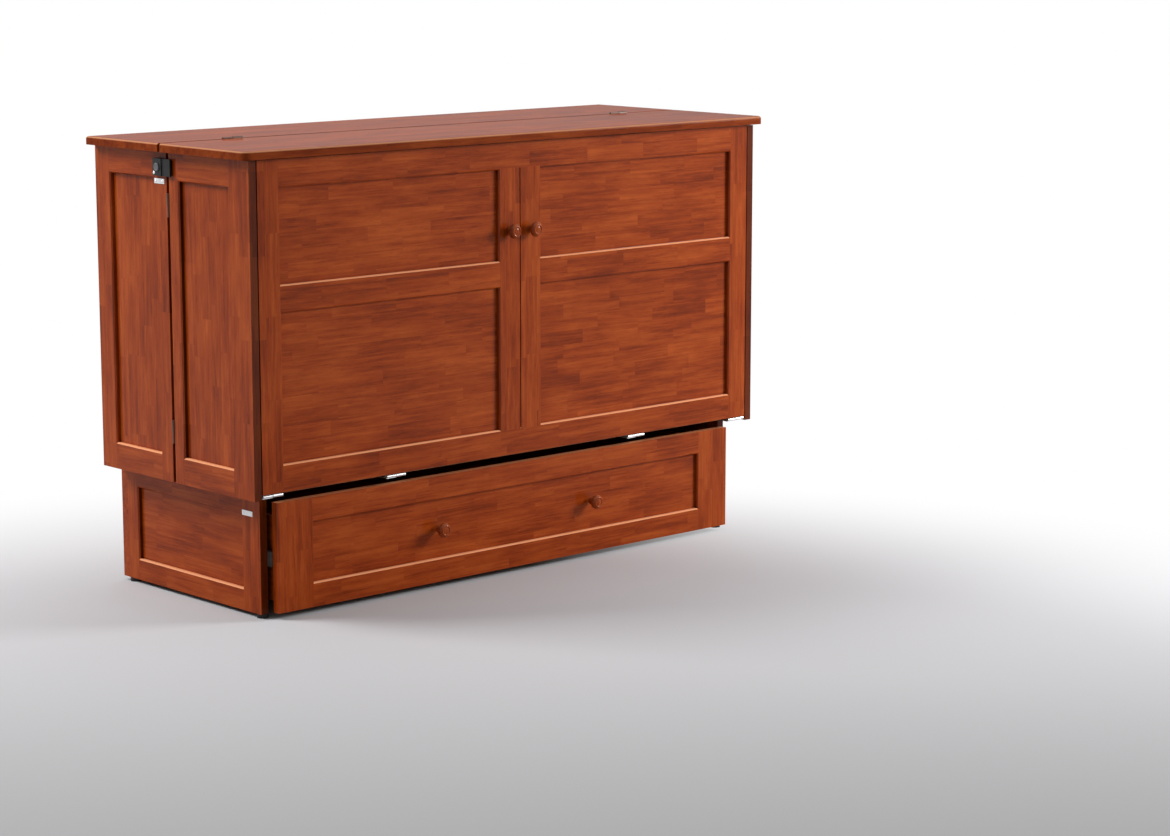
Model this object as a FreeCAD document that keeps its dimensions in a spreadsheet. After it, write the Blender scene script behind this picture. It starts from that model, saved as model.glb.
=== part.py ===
import FreeCAD, Part
import os
import re
import Sketcher
from FreeCAD import Placement, Rotation, Vector

# A cabinet bed, closed. X runs to the right, Y to the back and Z up, and the origin lies on the
# floor at the middle of the space that the closed cabinet takes. All sizes are in millimetres.

SIZES = [
    ("width", 1610, "over the outer faces of the two sides"),
    ("depth", 610, "front face of the drop front to the back of the cabinet"),
    ("height", 1085, "floor to the upper face of the top"),
    ("rear_depth", 297, "back of the cabinet to the hinge line that splits the sides and the top"),
    ("split_gap", 10, "gap between the fixed rear half and the parts that open"),
    # Boards and frame-and-panel work
    ("stock", 20, "thickness of boards, stiles and rails"),
    ("lip", 10, "depth of a panel's recess"),
    ("panel_board", 6, "thickness of a recessed panel"),
    ("groove", 8, "depth of the groove that holds a panel"),
    ("play", 1, "room left at the bottom of a groove"),
    ("bevel", 3, "bevel along the inner edges of a frame"),
    ("overcut", 1, "length by which a cut runs past the wood"),
    # Base
    ("foot_height", 10, "height of a foot"),
    ("foot_radius", 14, "radius of a foot"),
    ("base_top", 290, "floor to the top of the base"),
    ("base_inset", 50, "outer face of a side to the outer face of the base"),
    ("base_setback", 51, "front face of the drop front to the front edge of a base side"),
    ("base_rail", 52, "width of a base side's rails"),
    ("base_rear_stile", 44, "width of a base side's rear stile"),
    ("base_front_stile", 70, "width of a base side's front stile"),
    ("back_board", 24, "thickness of the back board of the base"),
    ("bearer_width", 46, "width of a bearer"),
    ("bearer_height", 23, "height of a bearer"),
    ("deck_setback", 43, "front face of the drop front to the front edge of the platform"),
    ("wing_room", 4, "room between the platform and a closed side door"),
    # Sides
    ("side_rear_stile", 60, "width of the stile at the back of a side"),
    ("side_split_stile", 47, "width of the fixed stile beside the split"),
    ("side_rail", 64, "width of a side's rails"),
    ("door_split_stile", 38, "width of a side door's stile beside the split"),
    ("door_front_stile", 80, "width of a side door's stile at the front corner"),
    ("door_room", 3, "room between the top and what moves under it"),
    # Top
    ("top_overhang", 24, "reach of the top past the sides"),
    ("top_front_overhang", 18, "reach of the top past the drop front"),
    ("top_corner", 22, "radius of the top's front corners"),
    ("top_ease", 6, "rounding of the top's upper edges"),
    # Drop front
    ("front_gap", 3, "gap between the drop front and a side"),
    ("front_bottom", 302, "floor to the lower edge of the drop front"),
    ("front_stile", 62, "width of an outer stile of the drop front"),
    ("front_mid_stile", 66, "width of a stile beside the middle groove"),
    ("front_rail", 64, "width of the drop front's rails"),
    ("front_mid_drop", 348, "upper edge of the drop front to the lower edge of its middle rails"),
    ("middle_groove", 3, "width of the groove between the two middle stiles"),
    ("knob_radius", 18, "largest radius of a knob"),
    ("knob_reach", 29, "length of a knob"),
    ("knob_neck", 8, "radius of a knob's neck"),
    ("knob_face", 11, "radius of the flat in the middle of a knob's face"),
    ("knob_rim", 7, "height of a knob's rim"),
    ("front_knob_drop", 212, "upper edge of the drop front to the middle of its knobs"),
    ("drawer_knob_inset", 481, "end of the drawer's front to the middle of a knob"),
    # Decks
    ("deck_side_room", 20, "inner face of a side to the folding decks"),
    ("deck_room", 1, "room between the drop front's lower edge and the middle deck's"),
    ("deck_axis_drop", 12, "upper edge of the drop front to the axis between the two folding decks"),
    ("fold_gap", 2, "gap between the folded decks"),
    ("foot_deck_room", 77, "platform to the lower edge of the folded foot deck"),
    ("leg_bar", 25, "thickness of a leg"),
    ("foot_leg_inset", 165, "end of a deck's width to the middle of a foot leg"),
    ("middle_leg_inset", 245, "end of a deck's width to the middle of a middle leg"),
    ("leg_inset", 55, "end of the foot deck to the axis of its legs"),
    ("leg_crossbar_place", 100, "axis of a leg pair to its crossbar"),
    ("leg_floor_room", 1, "room under a leg when the bed is open"),
    ("leg_standoff", 3, "room between the foot deck and a folded leg"),
    ("ear", 2, "thickness of a leg bracket"),
    ("ear_room", 1, "room beside a leg in its bracket"),
    # Hinges
    ("hinge_radius", 4, "outer radius of a hinge's knuckles"),
    ("hinge_length", 55, "length of a hinge"),
    ("hinge_leaf", 2, "thickness of a hinge leaf"),
    ("hinge_reach", 16, "axis of a hinge to the end of its leaf"),
    ("hinge_end_room", 0.5, "room between two knuckles"),
    ("pin_radius", 3, "radius of a hinge pin"),
    ("leg_pin_radius", 4, "radius of a leg's pin"),
    ("running_fit", 0.06, "radial room of a pin in what turns on it"),
    ("front_hinge_inset", 30, "end of the drop front to the middle of an outer front hinge"),
    ("front_flange", 18, "height of a front hinge's flange on the bearer"),
    ("top_hinge_inset", 185, "outer face of a side to the middle of an outer top hinge"),
    ("top_hinge_rise", 1.5, "upper face of the top to the axis of its hinges"),
    ("deck_hinge_inset", 165, "end of a deck's width to the middle of an outer deck hinge"),
    ("door_hinge_inset", 121, "end of a side door to the middle of a hinge"),
    # Drawer
    ("drawer_end_room", 24, "outer face of the base to the end of the drawer's front"),
    ("drawer_low_room", 5, "lower edge of the base to the lower edge of the drawer's front"),
    ("drawer_top_room", 15, "upper edge of the drawer's front to the top of the base"),
    ("drawer_setback", 16, "face of the drop front to the face of the drawer"),
    ("drawer_stile", 104, "width of the drawer front's stiles"),
    ("drawer_rail", 58, "width of the drawer front's rails"),
    ("drawer_board", 12, "thickness of the drawer's sides and back"),
    ("drawer_floor", 6, "thickness of the drawer's bottom"),
    ("drawer_back_room", 80, "back of the drawer's box to the back board of the base"),
    ("drawer_box_low_room", 30, "lower edge of the base to the lower edge of the drawer's box"),
    ("drawer_box_top_room", 50, "upper edge of the drawer's box to the top of the base"),
    ("drawer_floor_rise", 10, "lower edge of the drawer's box to its bottom board"),
    ("runner_space", 13, "space for the runners between the drawer and the base"),
    ("runner_gap", 1, "gap between a fixed and a moving runner"),
    ("runner_height", 35, "height of a runner"),
    # Latches and plates
    ("latch_drop", 57, "underside of the top to the lower edge of a safety latch"),
    ("latch_height", 40, "height of a safety latch"),
    ("latch_case_length", 33, "length of a latch's case"),
    ("latch_arm_length", 28, "length of a latch's arm from its axis"),
    ("latch_case_depth", 10, "thickness of a latch's case"),
    ("latch_axis_out", 6, "outer face of a side to the axis of its latch"),
    ("latch_axis_back", 7, "hinge line of the door to the axis of its latch"),
    ("latch_case_back", 12, "hinge line of the door to the latch's case"),
    ("latch_arm_thick", 5, "thickness of a latch's arm"),
    ("plate_thick", 1.5, "thickness of a bright plate"),
    ("plate_length", 40, "length of a bright plate"),
    ("plate_height", 12, "height of a bright plate"),
    ("latch_plate_drop", 76, "underside of the top to the lower edge of a latch's plate"),
    ("base_plate_drop", 53, "top of the base to the lower edge of its bright plate"),
    ("base_plate_inset", 26, "front edge of a base side to its bright plate"),
    # Mattress
    ("mattress_top_room", 72, "upper end of the folded mattress to the top"),
    ("mattress_side_room", 35, "inner face of a side to the mattress"),
    ("mattress_front_room", 41, "folded legs to the mattress"),
    ("mattress_gap", 1, "gap between folded sections and under them"),
    ("mattress_back_room", 10, "back panel to the mattress"),
    ("mattress_corner", 30, "rounding of a section's corners"),
]
NAMES = [name for name, size, meaning in SIZES]

doc = FreeCAD.newDocument("cabinet_bed")
sheet = doc.addObject("Spreadsheet::Sheet", "sizes")
for row, (name, size, meaning) in enumerate(SIZES, start=1):
    sheet.set(f"A{row}", meaning)
    sheet.set(f"B{row}", str(size))
    sheet.setAlias(f"B{row}", name)
doc.recompute()

# Planes and levels that several pieces share, as formulas of the sizes
FRONT = "(knob_reach / 2 - depth / 2)"
BACK = "(knob_reach / 2 + depth / 2)"
SPLIT = f"({BACK} - rear_depth)"
HALF = "(width / 2)"
INNER = f"({HALF} - stock)"
BASE_HALF = f"({HALF} - base_inset)"
BASE_FRONT = f"({FRONT} + base_setback)"
BASE_BACK = f"({BACK} - back_board)"
DECK_FRONT = f"({FRONT} + deck_setback)"
BEARER_TOP = "(base_top + bearer_height)"
DECK_TOP = f"({BEARER_TOP} + stock)"
TOP_UNDER = "(height - stock)"
SWING_TOP = f"({TOP_UNDER} - door_room)"
DROP_AXIS_Y = f"({FRONT} + hinge_radius)"
DROP_AXIS_Z = "(front_bottom - split_gap / 2)"
FRONT_HALF = f"({INNER} - front_gap)"
DECK_FACE = f"({FRONT} + stock)"
DECK_HALF = f"({INNER} - deck_side_room)"
DECK_AXIS_Z = f"({SWING_TOP} - deck_axis_drop)"
FOLD_AXIS_Y = f"({DECK_FACE} + stock + fold_gap / 2)"
DECK_END = f"({DECK_AXIS_Z} - split_gap / 2)"
LEAF_FACE = f"({FOLD_AXIS_Y} + fold_gap / 2 + stock)"
LEAF_LOW = f"({DECK_TOP} + foot_deck_room)"
LEG_AXIS_Y = f"({LEAF_FACE} + leg_standoff + leg_bar / 2)"
DRAWER_FACE = f"({FRONT} + drawer_setback)"
DRAWER_BACK_FACE = f"({DRAWER_FACE} + stock)"
DRAWER_FACE_HALF = f"({BASE_HALF} - drawer_end_room)"
DRAWER_HALF = f"({BASE_HALF} - stock - runner_space)"
DRAWER_LOW = "(foot_height + drawer_low_room)"
DRAWER_HIGH = "(base_top - drawer_top_room)"
BOX_LOW = "(foot_height + drawer_box_low_room)"
BOX_HIGH = "(base_top - drawer_box_top_room)"
BOX_LENGTH = f"({BASE_BACK} - drawer_back_room - {DRAWER_BACK_FACE})"
SECTION = f"({TOP_UNDER} - mattress_top_room - {DECK_TOP})"
MATTRESS_BACK = f"({BACK} - stock - mattress_back_room)"
MATTRESS_FRONT = f"({LEG_AXIS_Y} + leg_bar / 2 + mattress_front_room)"
MATTRESS_THICK = f"(({MATTRESS_BACK} - {MATTRESS_FRONT} - 2 * mattress_gap) / 3)"

UPRIGHT = Rotation(Vector(0, 1, 0), -90)
ALONG_X = Rotation(Vector(0, 1, 0), 90)
FACE_LEFT = Rotation(Vector(0, 0, 1), -90)
FACE_FRONT = Rotation(Vector(1, 0, 0), 90)
STRAIGHT = Rotation()


def formula(text):
    """Point each size word in a formula at its cell."""
    return re.sub(r"[a-z_]+", lambda word: f"sizes.{word[0]}" if word[0] in NAMES else word[0], text)


def value(text):
    """Work a formula out."""
    return float(sheet.evalExpression(formula(text)))


def bind(item, prop, text):
    """Bind a property to a formula of the sizes."""
    item.setExpression(prop, formula(text))


def place(item, x, y, z, turn=STRAIGHT):
    """Bind an object's place, and turn it."""
    item.Placement = Placement(Vector(), turn)
    for axis, text in zip("xyz", (x, y, z)):
        bind(item, f"Placement.Base.{axis}", text)


def board(name, x, y, z, length, width, height):
    """A plain board by its lowest corner and its lengths along X, Y and Z."""
    piece = doc.addObject("Part::Box", name)
    bind(piece, "Length", length)
    bind(piece, "Width", width)
    bind(piece, "Height", height)
    place(piece, x, y, z)
    return piece


def rod(name, radius, length, x, y, z, turn=STRAIGHT):
    """A round rod from its lower end, along Z unless it is turned."""
    piece = doc.addObject("Part::Cylinder", name)
    bind(piece, "Radius", radius)
    bind(piece, "Height", length)
    place(piece, x, y, z, turn)
    return piece


def fused(name, pieces):
    """Pieces joined in one solid."""
    whole = doc.addObject("Part::MultiFuse", name)
    whole.Shapes = pieces
    whole.Refine = True
    return whole


def cut(name, piece, tool):
    """A piece less a tool."""
    whole = doc.addObject("Part::Cut", name)
    whole.Base = piece
    whole.Tool = tool
    return whole


def group(name, pieces, x="0", y="0", z="0", turn=STRAIGHT):
    """Separate solids that share a name."""
    whole = doc.addObject("Part::Compound", name)
    whole.Links = pieces
    place(whole, x, y, z, turn)
    return whole


def mirrored(name, piece):
    """The right-hand twin of a left-hand piece."""
    twin = doc.addObject("Part::Mirroring", name)
    twin.Source = piece
    twin.Base = Vector(0, 0, 0)
    twin.Normal = Vector(1, 0, 0)
    return twin


def both_sides(name, piece):
    """A left-hand piece with its right-hand twin, under one name."""
    return group(name, [piece, mirrored(f"{name}_twin", piece)])


def sketch(body, role, outlines, lift="0"):
    """Draw closed outlines of straight lines, each corner a pair of formulas, on an origin plane."""
    plane = next(item for item in body.Origin.OriginFeatures if item.Role == role)
    drawing = body.newObject("Sketcher::SketchObject", f"{body.Name}_sketch")
    drawing.AttachmentSupport = [(plane, "")]
    drawing.MapMode = "FlatFace"
    bind(drawing, "AttachmentOffset.Base.z", lift)
    for corners in outlines:
        first = drawing.GeometryCount
        points = [Vector(value(across), value(up), 0) for across, up in corners]
        ends = points[1:] + points[:1]
        drawing.addGeometry([Part.LineSegment(start, end) for start, end in zip(points, ends)])
        for index, corner in enumerate(corners):
            line = first + index
            following = first + (index + 1) % len(corners)
            drawing.addConstraint(Sketcher.Constraint("Coincident", line, 2, following, 1))
            for kind, text in zip(("DistanceX", "DistanceY"), corner):
                rule = Sketcher.Constraint(kind, -1, 1, line, 1, value(text))
                number = drawing.addConstraint(rule)
                bind(drawing, f"Constraints[{number}]", text)
    return drawing


def padded(body, drawing, length):
    """Raise a sketch into a solid."""
    feature = body.newObject("PartDesign::Pad", f"{body.Name}_pad")
    feature.Profile = drawing
    bind(feature, "Length", length)
    return feature


def pocketed(body, drawing, length):
    """Cut a sketch out of a solid, against the sketch's normal."""
    feature = body.newObject("PartDesign::Pocket", f"{body.Name}_pocket")
    feature.Profile = drawing
    bind(feature, "Length", length)
    return feature


def rounded(body, base, radius, chosen):
    """Round the edges of a body's last feature that a test picks."""
    doc.recompute()
    edges = [f"Edge{n}" for n, edge in enumerate(base.Shape.Edges, start=1) if chosen(edge)]
    feature = body.newObject("PartDesign::Fillet", f"{body.Name}_fillet")
    feature.Base = (base, edges)
    bind(feature, "Radius", radius)
    return feature


def edge_line(place_text, sign, coped):
    """The outline of a member's end, from its face to its back."""
    if not coped:
        return [(place_text, "0"), (place_text, "stock")]
    tongue = f"{place_text} {sign} (groove - play)"
    return [
        (f"{place_text} {sign} bevel", "0"),
        (place_text, "bevel"),
        (place_text, "lip"),
        (tongue, "lip"),
        (tongue, "lip + panel_board"),
        (place_text, "lip + panel_board"),
        (place_text, "stock"),
    ]


def member(name, x, z, length, width, coped=True, low_edge=False, high_edge=False, upright=False):
    """A rail, or an upright stile, with coped ends and with the edges that hold a panel grooved.

    It lies along X with its face towards the front. Upright, it stands on its start, and its
    lower edge becomes the right one.
    """
    body = doc.addObject("PartDesign::Body", name)
    ends = edge_line("0", "-", coped) + edge_line(length, "+", coped)[::-1]
    padded(body, sketch(body, "XY_Plane", [ends]), width)
    past = "overcut"
    outlines = []
    if low_edge:
        outlines.append([("-overcut", "bevel + overcut"), ("bevel + overcut", f"-{past}"), (f"-{past}", f"-{past}")])
        outlines.append([("lip", f"-{past}"), ("lip", "groove"), ("lip + panel_board", "groove"),
                         ("lip + panel_board", f"-{past}")])
    if high_edge:
        outlines.append([("-overcut", f"{width} - bevel - overcut"), ("bevel + overcut", f"{width} + {past}"),
                         (f"-{past}", f"{width} + {past}")])
        outlines.append([("lip", f"{width} + {past}"), ("lip", f"{width} - groove"),
                         ("lip + panel_board", f"{width} - groove"), ("lip + panel_board", f"{width} + {past}")])
    if outlines:
        drawing = sketch(body, "YZ_Plane", outlines, f"{length} + groove + {past}")
        pocketed(body, drawing, f"{length} + 2 * groove + 2 * {past}")
    place(body, x, "0", z, UPRIGHT if upright else STRAIGHT)
    return body


def panel(name, x, z, length, height):
    """A thin panel held in the grooves round an opening that starts at x, z."""
    hold = "(groove - play)"
    return board(name, f"{x} - {hold}", "lip", f"{z} - {hold}",
                 f"{length} + 2 * {hold}", "panel_board", f"{height} + 2 * {hold}")


def plain_frame(name, length, height, first_stile, last_stile, low_rail, high_rail, where):
    """A frame with one panel, its face towards the front before it is placed."""
    opening = f"({length} - {first_stile} - {last_stile})"
    stiles = [
        member(f"{name}_stile_first", first_stile, "0", height, first_stile,
               coped=False, low_edge=True, upright=True),
        member(f"{name}_stile_last", length, "0", height, last_stile,
               coped=False, high_edge=True, upright=True),
    ]
    rails = [
        member(f"{name}_rail_low", first_stile, "0", opening, low_rail, high_edge=True),
        member(f"{name}_rail_high", first_stile, f"{height} - {high_rail}", opening, high_rail, low_edge=True),
    ]
    inner = panel(f"{name}_board", first_stile, low_rail, opening, f"{height} - {low_rail} - {high_rail}")
    return (
        group(f"{name}_stiles", stiles, *where),
        group(f"{name}_rails", rails, *where),
        group(f"{name}_panel", [inner], *where),
    )


NODES = []


def keep(name, piece):
    """Give a finished sub-part the label that names its file."""
    piece.Label = name
    NODES.append(piece)
    return piece


def keep_frame(stem, pieces):
    """Keep a left-hand frame's stiles, rails and panel, each with its right-hand twin under one name."""
    for part_word, piece in zip(("stiles", "rails", "panels"), pieces):
        keep(f"{stem}_{part_word}", both_sides(f"{stem}_{part_word}_pair", piece))


def keep_left_and_right(stem, piece):
    """Keep a left-hand piece and its right-hand twin as two sub-parts."""
    keep(f"{stem}_left", piece)
    keep(f"{stem}_right", mirrored(f"{stem}_twin", piece))


def make_sides():
    """The fixed rear halves of the sides and the side doors in front of them."""
    fixed_length = "(rear_depth - split_gap / 2)"
    fixed_height = f"({TOP_UNDER} - base_top)"
    fixed = plain_frame("rear_side", fixed_length, fixed_height, "side_rear_stile", "side_split_stile",
                        "side_rail", "side_rail", (f"-{HALF}", BACK, "base_top", FACE_LEFT))
    keep_frame("side", fixed)
    door_length = "(depth - rear_depth - split_gap / 2)"
    door_height = f"({SWING_TOP} - base_top)"
    door = plain_frame("side_door", door_length, door_height, "door_split_stile", "door_front_stile",
                       "side_rail", "side_rail", (f"-{HALF}", f"{SPLIT} - split_gap / 2", "base_top", FACE_LEFT))
    for part_word, piece in zip(("stiles", "rails", "panel"), door):
        keep_left_and_right(f"door_{part_word}", piece)


def make_base():
    """The base that carries the cabinet, with its feet, and the platform on its bearers."""
    length = f"({BASE_BACK} - {BASE_FRONT})"
    frame = plain_frame("base_frame", length, "(base_top - foot_height)", "base_rear_stile", "base_front_stile",
                        "base_rail", "base_rail", (f"-{BASE_HALF}", BASE_BACK, "foot_height", FACE_LEFT))
    keep_frame("base", frame)
    keep("base_back", board("back_of_base", f"-{BASE_HALF}", BASE_BACK, "foot_height",
                            f"2 * {BASE_HALF}", "back_board", "base_top - foot_height"))
    feet = []
    for end, y in (("front", f"{BASE_FRONT} + foot_radius"), ("rear", f"{BASE_BACK} - foot_radius / 2")):
        for side, sign in (("left", "-"), ("right", "")):
            feet.append(rod(f"foot_{end}_{side}", "foot_radius", "foot_height",
                            f"{sign}({BASE_HALF} - foot_radius)", y, "0"))
    keep("feet", group("feet_group", feet))
    bearer_half = f"({INNER} - wing_room)"
    side_bearer = board("side_bearer", f"-{bearer_half}", f"{DECK_FRONT} + hinge_leaf", "base_top",
                        "bearer_width", f"{BASE_BACK} - {DECK_FRONT} - hinge_leaf", "bearer_height")
    bearers = [side_bearer, mirrored("side_bearer_twin", side_bearer)]
    inside = f"({bearer_half} - bearer_width)"
    for number, y in enumerate((f"{DECK_FRONT} + hinge_leaf", f"{BASE_BACK} - bearer_width"), start=1):
        bearers.append(board(f"cross_bearer_{number}", f"-{inside}", y, "base_top",
                             f"2 * {inside}", "bearer_width", "bearer_height"))
    keep("bearers", group("bearer_group", bearers))
    deck = doc.addObject("PartDesign::Body", "platform_body")
    wide = INNER
    narrow = bearer_half
    step = f"{SPLIT} + split_gap / 2"
    rear = f"{BACK} - stock"
    corners = [(f"-{wide}", rear), (f"-{wide}", step), (f"-{narrow}", step), (f"-{narrow}", DECK_FRONT),
               (narrow, DECK_FRONT), (narrow, step), (wide, step), (wide, rear)]
    padded(deck, sketch(deck, "XY_Plane", [corners], BEARER_TOP), "stock")
    keep("platform", deck)


def make_back_and_top():
    """The back panel and the two halves of the top."""
    keep("back_panel", board("back_of_cabinet", f"-{INNER}", f"{BACK} - stock", "base_top",
                             f"2 * {INNER}", "stock", f"{TOP_UNDER} - base_top"))
    reach = f"({HALF} + top_overhang)"
    halves = (
        ("top_rear", f"({SPLIT} + split_gap / 2)", BACK),
        ("top_flap", f"({FRONT} - top_front_overhang)", f"({SPLIT} - split_gap / 2)"),
    )
    for name, low, high in halves:
        body = doc.addObject("PartDesign::Body", f"{name}_body")
        corners = [(f"-{reach}", low), (reach, low), (reach, high), (f"-{reach}", high)]
        solid = padded(body, sketch(body, "XY_Plane", [corners], TOP_UNDER), "stock")
        split = value(SPLIT)
        front_edge = value(f"{FRONT} - top_front_overhang")
        touch = 0.01
        if name == "top_flap":
            solid = rounded(body, solid, "top_corner", lambda edge: edge.BoundBox.ZLength > touch and all(
                abs(v.Y - front_edge) < touch for v in edge.Vertexes))
        doc.recompute()
        gap = value("split_gap")
        upper = value("height")
        rounded(body, solid, "top_ease", lambda edge: edge.BoundBox.ZMin > upper - touch and not all(
            abs(v.Y - split) < gap for v in edge.Vertexes))
        keep(name, body)


def make_drop_front():
    """The front that folds down: one frame made to look like a pair of two-panel doors."""
    where = ("0", FRONT, "front_bottom", STRAIGHT)
    high = f"({SWING_TOP} - front_bottom)"
    inner_half = f"({FRONT_HALF} - front_stile)"
    opening = f"({high} - 2 * front_rail)"
    mid_outer = "(middle_groove / 2 + front_mid_stile)"
    bay = f"({inner_half} - {mid_outer})"
    mid_low = f"({high} - front_mid_drop)"
    stiles = [
        member("front_stile_left", f"-{inner_half}", "0", high, "front_stile",
               coped=False, low_edge=True, upright=True),
        member("front_stile_right", FRONT_HALF, "0", high, "front_stile",
               coped=False, high_edge=True, upright=True),
        member("front_stile_mid_left", "-(middle_groove / 2)", "front_rail", opening, "front_mid_stile",
               high_edge=True, upright=True),
        member("front_stile_mid_right", mid_outer, "front_rail", opening, "front_mid_stile",
               low_edge=True, upright=True),
    ]
    rails = [
        member("front_rail_low", f"-{inner_half}", "0", f"(2 * {inner_half})", "front_rail", high_edge=True),
        member("front_rail_high", f"-{inner_half}", f"{high} - front_rail", f"(2 * {inner_half})", "front_rail",
               low_edge=True),
    ]
    panels = []
    for side, start in (("left", f"-{inner_half}"), ("right", mid_outer)):
        rails.append(member(f"front_rail_mid_{side}", start, mid_low, bay, "front_rail",
                            low_edge=True, high_edge=True))
        panels.append(panel(f"front_panel_low_{side}", start, "front_rail", bay, f"({mid_low} - front_rail)"))
        panels.append(panel(f"front_panel_high_{side}", start, f"({mid_low} + front_rail)", bay,
                            f"({high} - {mid_low} - 2 * front_rail)"))
    keep("front_stiles", group("front_stile_group", stiles, *where))
    keep("front_rails", group("front_rail_group", rails, *where))
    keep("front_panels", group("front_panel_group", panels, *where))


def knob(name, x, face, z):
    """A turned knob: a neck under a round head with a bevelled face."""
    body = doc.addObject("PartDesign::Body", name)
    profile = [
        ("0", "0"),
        ("knob_neck", "0"),
        ("knob_neck", "knob_reach / 2"),
        ("knob_radius", "knob_reach / 2"),
        ("knob_radius", "knob_reach / 2 + knob_rim"),
        ("knob_face", "knob_reach"),
        ("0", "knob_reach"),
    ]
    turned = body.newObject("PartDesign::Revolution", f"{name}_turned")
    drawing = sketch(body, "XZ_Plane", [profile])
    turned.Profile = drawing
    turned.ReferenceAxis = (drawing, ["V_Axis"])
    turned.Angle = 360
    body.Tip = turned
    return group(f"{name}_placed", [body], x, face, z, FACE_FRONT)


def make_knobs():
    """A pair of knobs on the drop front's middle stiles and a pair on the drawer."""
    middle = "(middle_groove / 2 + front_mid_stile / 2)"
    rows = (
        ("front_knobs", middle, FRONT, f"({SWING_TOP} - front_knob_drop)"),
        ("drawer_knobs", f"({DRAWER_FACE_HALF} - drawer_knob_inset)", DRAWER_FACE,
         f"({DRAWER_LOW} / 2 + {DRAWER_HIGH} / 2)"),
    )
    for name, out, face, height in rows:
        pair = [knob(f"{name}_{side}", f"{sign}{out}", face, height) for side, sign in (("left", "-"), ("right", ""))]
        keep(name, group(f"{name}_group", pair))


def make_decks():
    """The deck behind the drop front and the foot deck that is folded against it."""
    low = "(front_bottom + deck_room)"
    keep("middle_deck", board("middle_deck_board", f"-{DECK_HALF}", DECK_FACE, low,
                              f"2 * {DECK_HALF}", "stock", f"{DECK_END} - {low}"))
    keep("foot_deck", board("foot_deck_board", f"-{DECK_HALF}", f"{LEAF_FACE} - stock", LEAF_LOW,
                            f"2 * {DECK_HALF}", "stock", f"{DECK_END} - {LEAF_LOW}"))


def leg_pair(name, out, axis_z, sign):
    """Two legs and their crossbar, folded flat; sign says whether they point up or down."""
    low_y = f"{LEG_AXIS_Y} - leg_bar / 2"
    length = f"({DROP_AXIS_Z} + 2 * {FOLD_AXIS_Y} - {DROP_AXIS_Y} - {LEG_AXIS_Y} - leg_floor_room)"
    start = axis_z if sign == "+" else f"({axis_z} - {length})"
    bars = []
    for side, middle in (("left", f"(-{out})"), ("right", out)):
        left = f"{middle} - leg_bar / 2"
        bars.append(board(f"{name}_{side}", left, low_y, start, "leg_bar", "leg_bar", length))
        bars.append(rod(f"{name}_{side}_end", "leg_bar / 2", "leg_bar", left, LEG_AXIS_Y, axis_z, ALONG_X))
    bars.append(board(f"{name}_crossbar", f"-{out}", low_y,
                      f"{axis_z} {sign} leg_crossbar_place - leg_bar / 2", f"2 * {out}", "leg_bar", "leg_bar"))
    bore = rod(f"{name}_bore", "leg_pin_radius + running_fit", f"2 * {out} + 2 * leg_bar",
               f"-{out} - leg_bar", LEG_AXIS_Y, axis_z, ALONG_X)
    return keep(name, cut(f"{name}_bored", fused(f"{name}_bars", bars), bore))


def leg_bracket(name, middle, axis_z):
    """A bracket with two ears and the pin that is riveted in them, on which a leg turns."""
    half = "(leg_bar / 2 + ear_room + ear)"
    block = board(f"{name}_block", f"{middle} - {half}", LEAF_FACE, f"{axis_z} - leg_bar / 2",
                  f"2 * {half}", "leg_standoff + leg_bar", "leg_bar")
    space = board(f"{name}_space", f"{middle} - {half} + ear", f"{LEAF_FACE} + leg_standoff / 2",
                  f"{axis_z} - leg_bar", f"2 * {half} - 2 * ear", "2 * leg_bar", "2 * leg_bar")
    pin = rod(f"{name}_pin", "leg_pin_radius", f"2 * {half}", f"{middle} - {half}", LEG_AXIS_Y, axis_z, ALONG_X)
    return fused(name, [cut(f"{name}_hollow", block, space), pin])


def make_legs():
    """The legs that fold out under the foot deck, in brackets at its two ends."""
    rows = (
        ("foot", f"({DECK_HALF} - foot_leg_inset)", f"({LEAF_LOW} + leg_inset)", "+"),
        ("middle", f"({DECK_HALF} - middle_leg_inset)", f"({DECK_END} - leg_inset)", "-"),
    )
    brackets = []
    for name, out, axis_z, sign in rows:
        leg_pair(f"{name}_legs", out, axis_z, sign)
        for side, middle in (("left", f"(-{out})"), ("right", out)):
            brackets.append(leg_bracket(f"{name}_bracket_{side}", middle, axis_z))
    keep("leg_brackets", group("leg_bracket_group", brackets))


def hinge_leaf(name, level, pinned, reach="hinge_reach", flange=None):
    """A leaf of a lift-off hinge on an axis along X.

    The plate lies above or below the axis by half the gap that it bridges and points to the back.
    A pinned leaf carries the pin, and the other leaf's knuckle turns on the free half of it.
    """
    low = "(split_gap / 2 - hinge_leaf)" if level == "+" else "-(split_gap / 2)"
    free = "(hinge_radius + 1)"
    start = "0" if pinned else "(hinge_length / 2 + hinge_end_room)"
    length = f"(hinge_length / 2 - {'0' if pinned else 'hinge_end_room'})"
    pieces = [
        board(f"{name}_plate", "0", free, low, "hinge_length", f"{reach} - {free}", "hinge_leaf"),
        board(f"{name}_tab", start, "0", "0" if level == "+" else low, length,
              f"{free} + hinge_leaf", "split_gap / 2"),
    ]
    if flange:
        pieces.append(board(f"{name}_flange", "0", f"{reach} - hinge_leaf", low, "hinge_length", "hinge_leaf", flange))
    if pinned:
        pieces.append(rod(f"{name}_pin", "pin_radius", "hinge_length", "0", "0", "0", ALONG_X))
        return fused(name, pieces)
    pieces.append(rod(f"{name}_knuckle", "hinge_radius", length, start, "0", "0", ALONG_X))
    bore = rod(f"{name}_bore", "pin_radius + running_fit", "2 * hinge_length", "-hinge_length / 2", "0", "0", ALONG_X)
    return cut(name, fused(f"{name}_solid", pieces), bore)


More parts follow.
